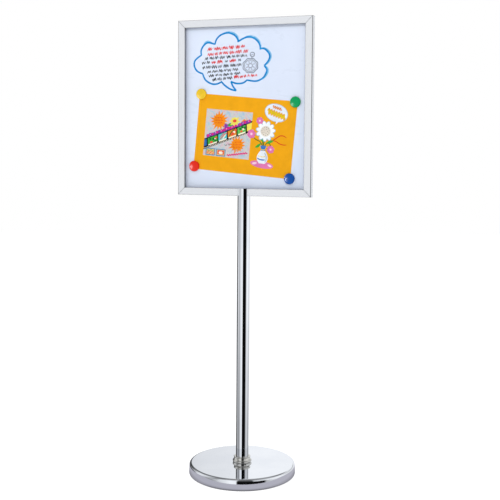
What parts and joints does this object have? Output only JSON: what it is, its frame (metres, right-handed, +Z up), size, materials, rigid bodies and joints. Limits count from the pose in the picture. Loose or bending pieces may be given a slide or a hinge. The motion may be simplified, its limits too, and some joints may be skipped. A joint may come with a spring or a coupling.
{
  "type": "sign stand",
  "caption": "Free-standing sign stand: a framed magnetic notice board held in the forked top of a round chromed post on a heavy round base.",
  "frame": {"origin": "on the floor at the middle of the base", "axes": "+Z up along the post, the board faces -Y, +X to the right of a person reading the board"},
  "size_m": [0.42, 0.325, 1.376],
  "materials": {
    "bright_chrome": "polished",
    "cast_iron": "rough, black primer",
    "zinc_steel": "zinc plated",
    "black_rubber": "matte",
    "grey_nylon": "matte",
    "cast_alloy": "as cast",
    "satin_aluminium": "satin anodised",
    "white_enamel": "gloss enamel",
    "core_board": "pressed board",
    "galvanised_back": "galvanised sheet",
    "notice_paper": "coated, half matt",
    "yellow_plastic": "gloss",
    "green_plastic": "gloss",
    "red_plastic": "gloss",
    "blue_plastic": "gloss",
    "ferrite": "matte"
  },
  "bodies": {
    "base": {"base_cover": "bright_chrome", "base_weight": "cast_iron", "base_plate": "zinc_steel", "base_plate_screws": "zinc_steel", "floor_ring": "black_rubber"},
    "post_and_board": {"post_tube": "bright_chrome", "post_seat_washer": "grey_nylon", "post_foot_plug": "zinc_steel", "centre_bolt": "zinc_steel", "centre_bolt_washer": "zinc_steel", "centre_bolt_lock_washer": "zinc_steel", "post_head": "cast_alloy", "post_head_screws": "zinc_steel", "frame_clamp_screws": "zinc_steel", "rail_nut_bar": "zinc_steel", "rail_top": "satin_aluminium", "rail_bottom": "satin_aluminium", "rail_left": "satin_aluminium", "rail_right": "satin_aluminium", "corner_key_top_left": "cast_alloy", "corner_key_top_right": "cast_alloy", "corner_key_bottom_left": "cast_alloy", "corner_key_bottom_right": "cast_alloy", "corner_key_screws": "zinc_steel", "board_sheet": "white_enamel", "board_core": "core_board", "board_back": "galvanised_back"},
    "collar": {"foot_collar": "bright_chrome"},
    "notice": {"notice_sheet": "notice_paper"},
    "magnet_yellow": {"magnet_yellow_cap": "yellow_plastic", "magnet_yellow_disc": "ferrite"},
    "magnet_green": {"magnet_green_cap": "green_plastic", "magnet_green_disc": "ferrite"},
    "magnet_red": {"magnet_red_cap": "red_plastic", "magnet_red_disc": "ferrite"},
    "magnet_blue": {"magnet_blue_cap": "blue_plastic", "magnet_blue_disc": "ferrite"}
  },
  "joints": [
    {"name": "post_turn", "type": "hinge", "parent": "base", "child": "post_and_board", "pos_m": [0, 0, 0.037], "axis": [0, 0, 1], "continuous": true},
    {"name": "collar_lift", "type": "slide", "parent": "post_and_board", "child": "collar", "axis": [0, 0, 1], "range_m": [0, 0.78]},
    {"name": "notice_off", "type": "slide", "parent": "post_and_board", "child": "notice", "axis": [0, -1, 0], "range_m": [0, 0.15]},
    {"name": "magnet_yellow_pull", "type": "slide", "parent": "notice", "child": "magnet_yellow", "axis": [0, -1, 0], "range_m": [0, 0.08]},
    {"name": "magnet_green_pull", "type": "slide", "parent": "notice", "child": "magnet_green", "axis": [0, -1, 0], "range_m": [0, 0.08]},
    {"name": "magnet_red_pull", "type": "slide", "parent": "notice", "child": "magnet_red", "axis": [0, -1, 0], "range_m": [0, 0.08]},
    {"name": "magnet_blue_pull", "type": "slide", "parent": "notice", "child": "magnet_blue", "axis": [0, -1, 0], "range_m": [0, 0.08]}
  ]
}
